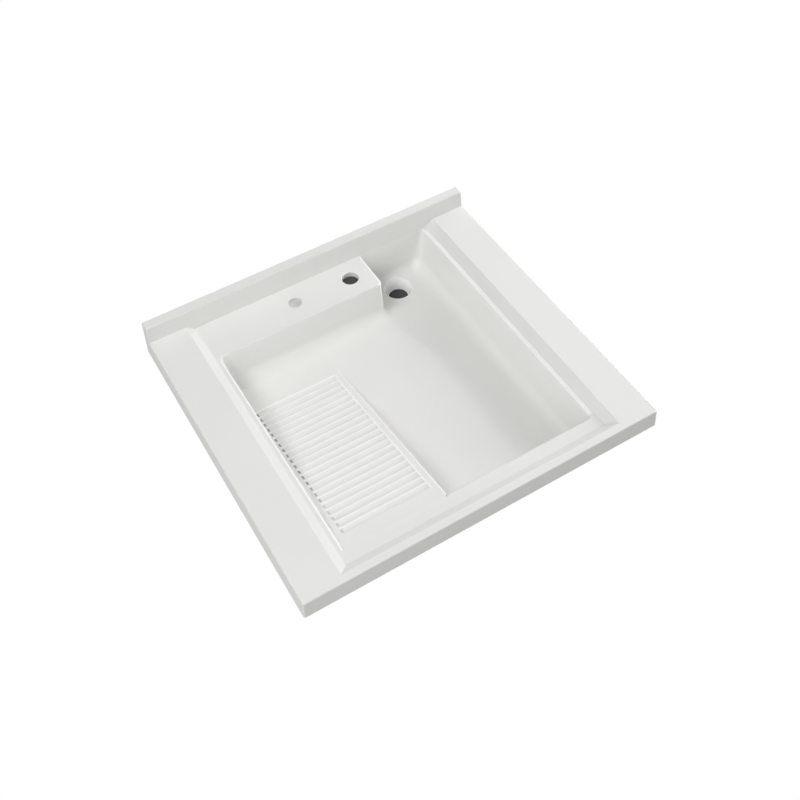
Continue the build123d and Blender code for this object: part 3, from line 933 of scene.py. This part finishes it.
def plane(name, glow):
    """A pale floor. The one that the camera sees and the one that gives the
    bounce light are two, so that the background can be a clear white."""
    me = bpy.data.meshes.new(name)
    me.from_pydata([(-30, -30, FLOOR_Z), (30, -30, FLOOR_Z), (30, 30, FLOOR_Z), (-30, 30, FLOOR_Z)], [], [(0, 1, 2, 3)])
    o = bpy.data.objects.new(name, me)
    bpy.context.scene.collection.objects.link(o)
    mat = bpy.data.materials.new(name)
    mat.use_nodes = True
    bsdf = mat.node_tree.nodes["Principled BSDF"]
    bsdf.inputs["Base Color"].default_value = (0.02, 0.02, 0.02, 1)
    bsdf.inputs["Roughness"].default_value = 0.9
    bsdf.inputs["Specular IOR Level"].default_value = 0.0
    bsdf.inputs["Emission Color"].default_value = (1, 1, 1, 1)
    bsdf.inputs["Emission Strength"].default_value = glow
    me.materials.append(mat)
    return o


floor = plane("floor_bounce", 0.496)
floor.visible_camera = False
floor_seen = plane("floor_seen", 1.0)
floor_seen.visible_diffuse = floor_seen.visible_glossy = floor_seen.visible_shadow = False


def dark_disc(name, x, y, z, r):
    """Stage only: stands for the unlit inside of the cabinet seen through a hole."""
    me = bpy.data.meshes.new(name)
    pts = [world((x + r * math.cos(2 * math.pi * i / 48), y + r * math.sin(2 * math.pi * i / 48), z)) for i in range(48)]
    me.from_pydata(pts, [], [tuple(range(48))])
    o = bpy.data.objects.new(name, me)
    bpy.context.scene.collection.objects.link(o)
    m = bpy.data.materials.get("unlit_inside")
    if m is None:
        m = bpy.data.materials.new("unlit_inside")
        m.use_nodes = True
        b = m.node_tree.nodes["Principled BSDF"]
        b.inputs["Base Color"].default_value = (0.09, 0.09, 0.09, 1)
        b.inputs["Roughness"].default_value = 0.9
        b.inputs["Specular IOR Level"].default_value = 0.1
    me.materials.append(m)


dark_disc("shade_under_tap_hole", TAP_X + 5, TAP_Y + 5, TRAY_BOT - 0.8, 24.0)
dark_disc("shade_under_waste_hole", DRAIN_X + 3, DRAIN_Y + 3, SEAT_Z - SEAT_DEPTH - DRAIN_LEN - 0.8, 26.0)

# ----------------------------------------------------------------------- lights
world_data = bpy.data.worlds.new("studio")
bpy.context.scene.world = world_data
world_data.use_nodes = True
bg = world_data.node_tree.nodes["Background"]
bg.inputs["Color"].default_value = (1, 1, 1, 1)
bg.inputs["Strength"].default_value = 1.0
world_data.cycles_visibility.diffuse = world_data.cycles_visibility.glossy = False


def area(name, az, el, dist, size, power, target=(0, 0, 0)):
    data = bpy.data.lights.new(name, "AREA")
    data.shape = "SQUARE"
    data.size = size
    data.energy = power
    o = bpy.data.objects.new(name, data)
    a, e = math.radians(az), math.radians(el)
    pos = Vector((math.cos(e) * math.sin(a), -math.cos(e) * math.cos(a), math.sin(e))) * dist + Vector(target)
    o.location = pos
    o.rotation_euler = (Vector(target) - pos).to_track_quat("-Z", "Y").to_euler()
    bpy.context.scene.collection.objects.link(o)
    return o


for name, az, el, size, power in (("left_front", -45, 48, 1.6, 15.9), ("left_high", -90, 66, 1.1, 18.3),
                                  ("left_front_small", -70, 52, 0.6, 9.4), ("left_front_mid", -70, 52, 1.1, 7.7),
                                  ("left_front_low", -45, 18, 1.6, 16.8), ("left_low", -90, 18, 1.6, 7.0),
                                  ("left_rear_low", -135, 18, 1.6, 10.0), ("front_low", 0, 18, 1.6, 8.4),
                                  ("right_front_low", 45, 18, 1.6, 3.1), ("right_low", 90, 18, 1.6, 64.4),
                                  ("right", 90, 48, 1.6, 9.5), ("right_rear_low", 135, 18, 1.6, 5.2),
                                  ("right_rear_high", 135, 48, 1.6, 10.1), ("rear_right", 150, 32, 1.6, 3.4)):
    area(name, az, el, 3.0, size, power)

# ----------------------------------------------------------------------- camera
cam_data = bpy.data.cameras.new("camera")
cam_data.sensor_width = 36.0
cam_data.lens = 45.17
cam_data.clip_start = 0.05
cam_data.clip_end = 100
cam = bpy.data.objects.new("camera", cam_data)
bpy.context.scene.collection.objects.link(cam)
az, el, roll = math.radians(-28.32), math.radians(52.86), math.radians(3.16)
back = Vector((math.sin(az) * math.cos(el), -math.cos(az) * math.cos(el), math.sin(el)))
fwd = -back
right = fwd.cross(Vector((0, 0, 1))).normalized()
down = fwd.cross(right)
row0 = right * math.cos(roll) + down * math.sin(roll)
row1 = -right * math.sin(roll) + down * math.cos(roll)
m = Matrix.Identity(4)
for i in range(3):
    m[i][0], m[i][1], m[i][2] = row0[i], -row1[i], -fwd[i]
m.translation = Vector((-0.5305, -1.0122, 1.4679))
cam.matrix_world = m
bpy.context.scene.camera = cam

scene = bpy.context.scene
scene.view_settings.view_transform = "Standard"
scene.view_settings.look = "None"
scene.view_settings.exposure = 0.0
scene.view_settings.gamma = 1.0
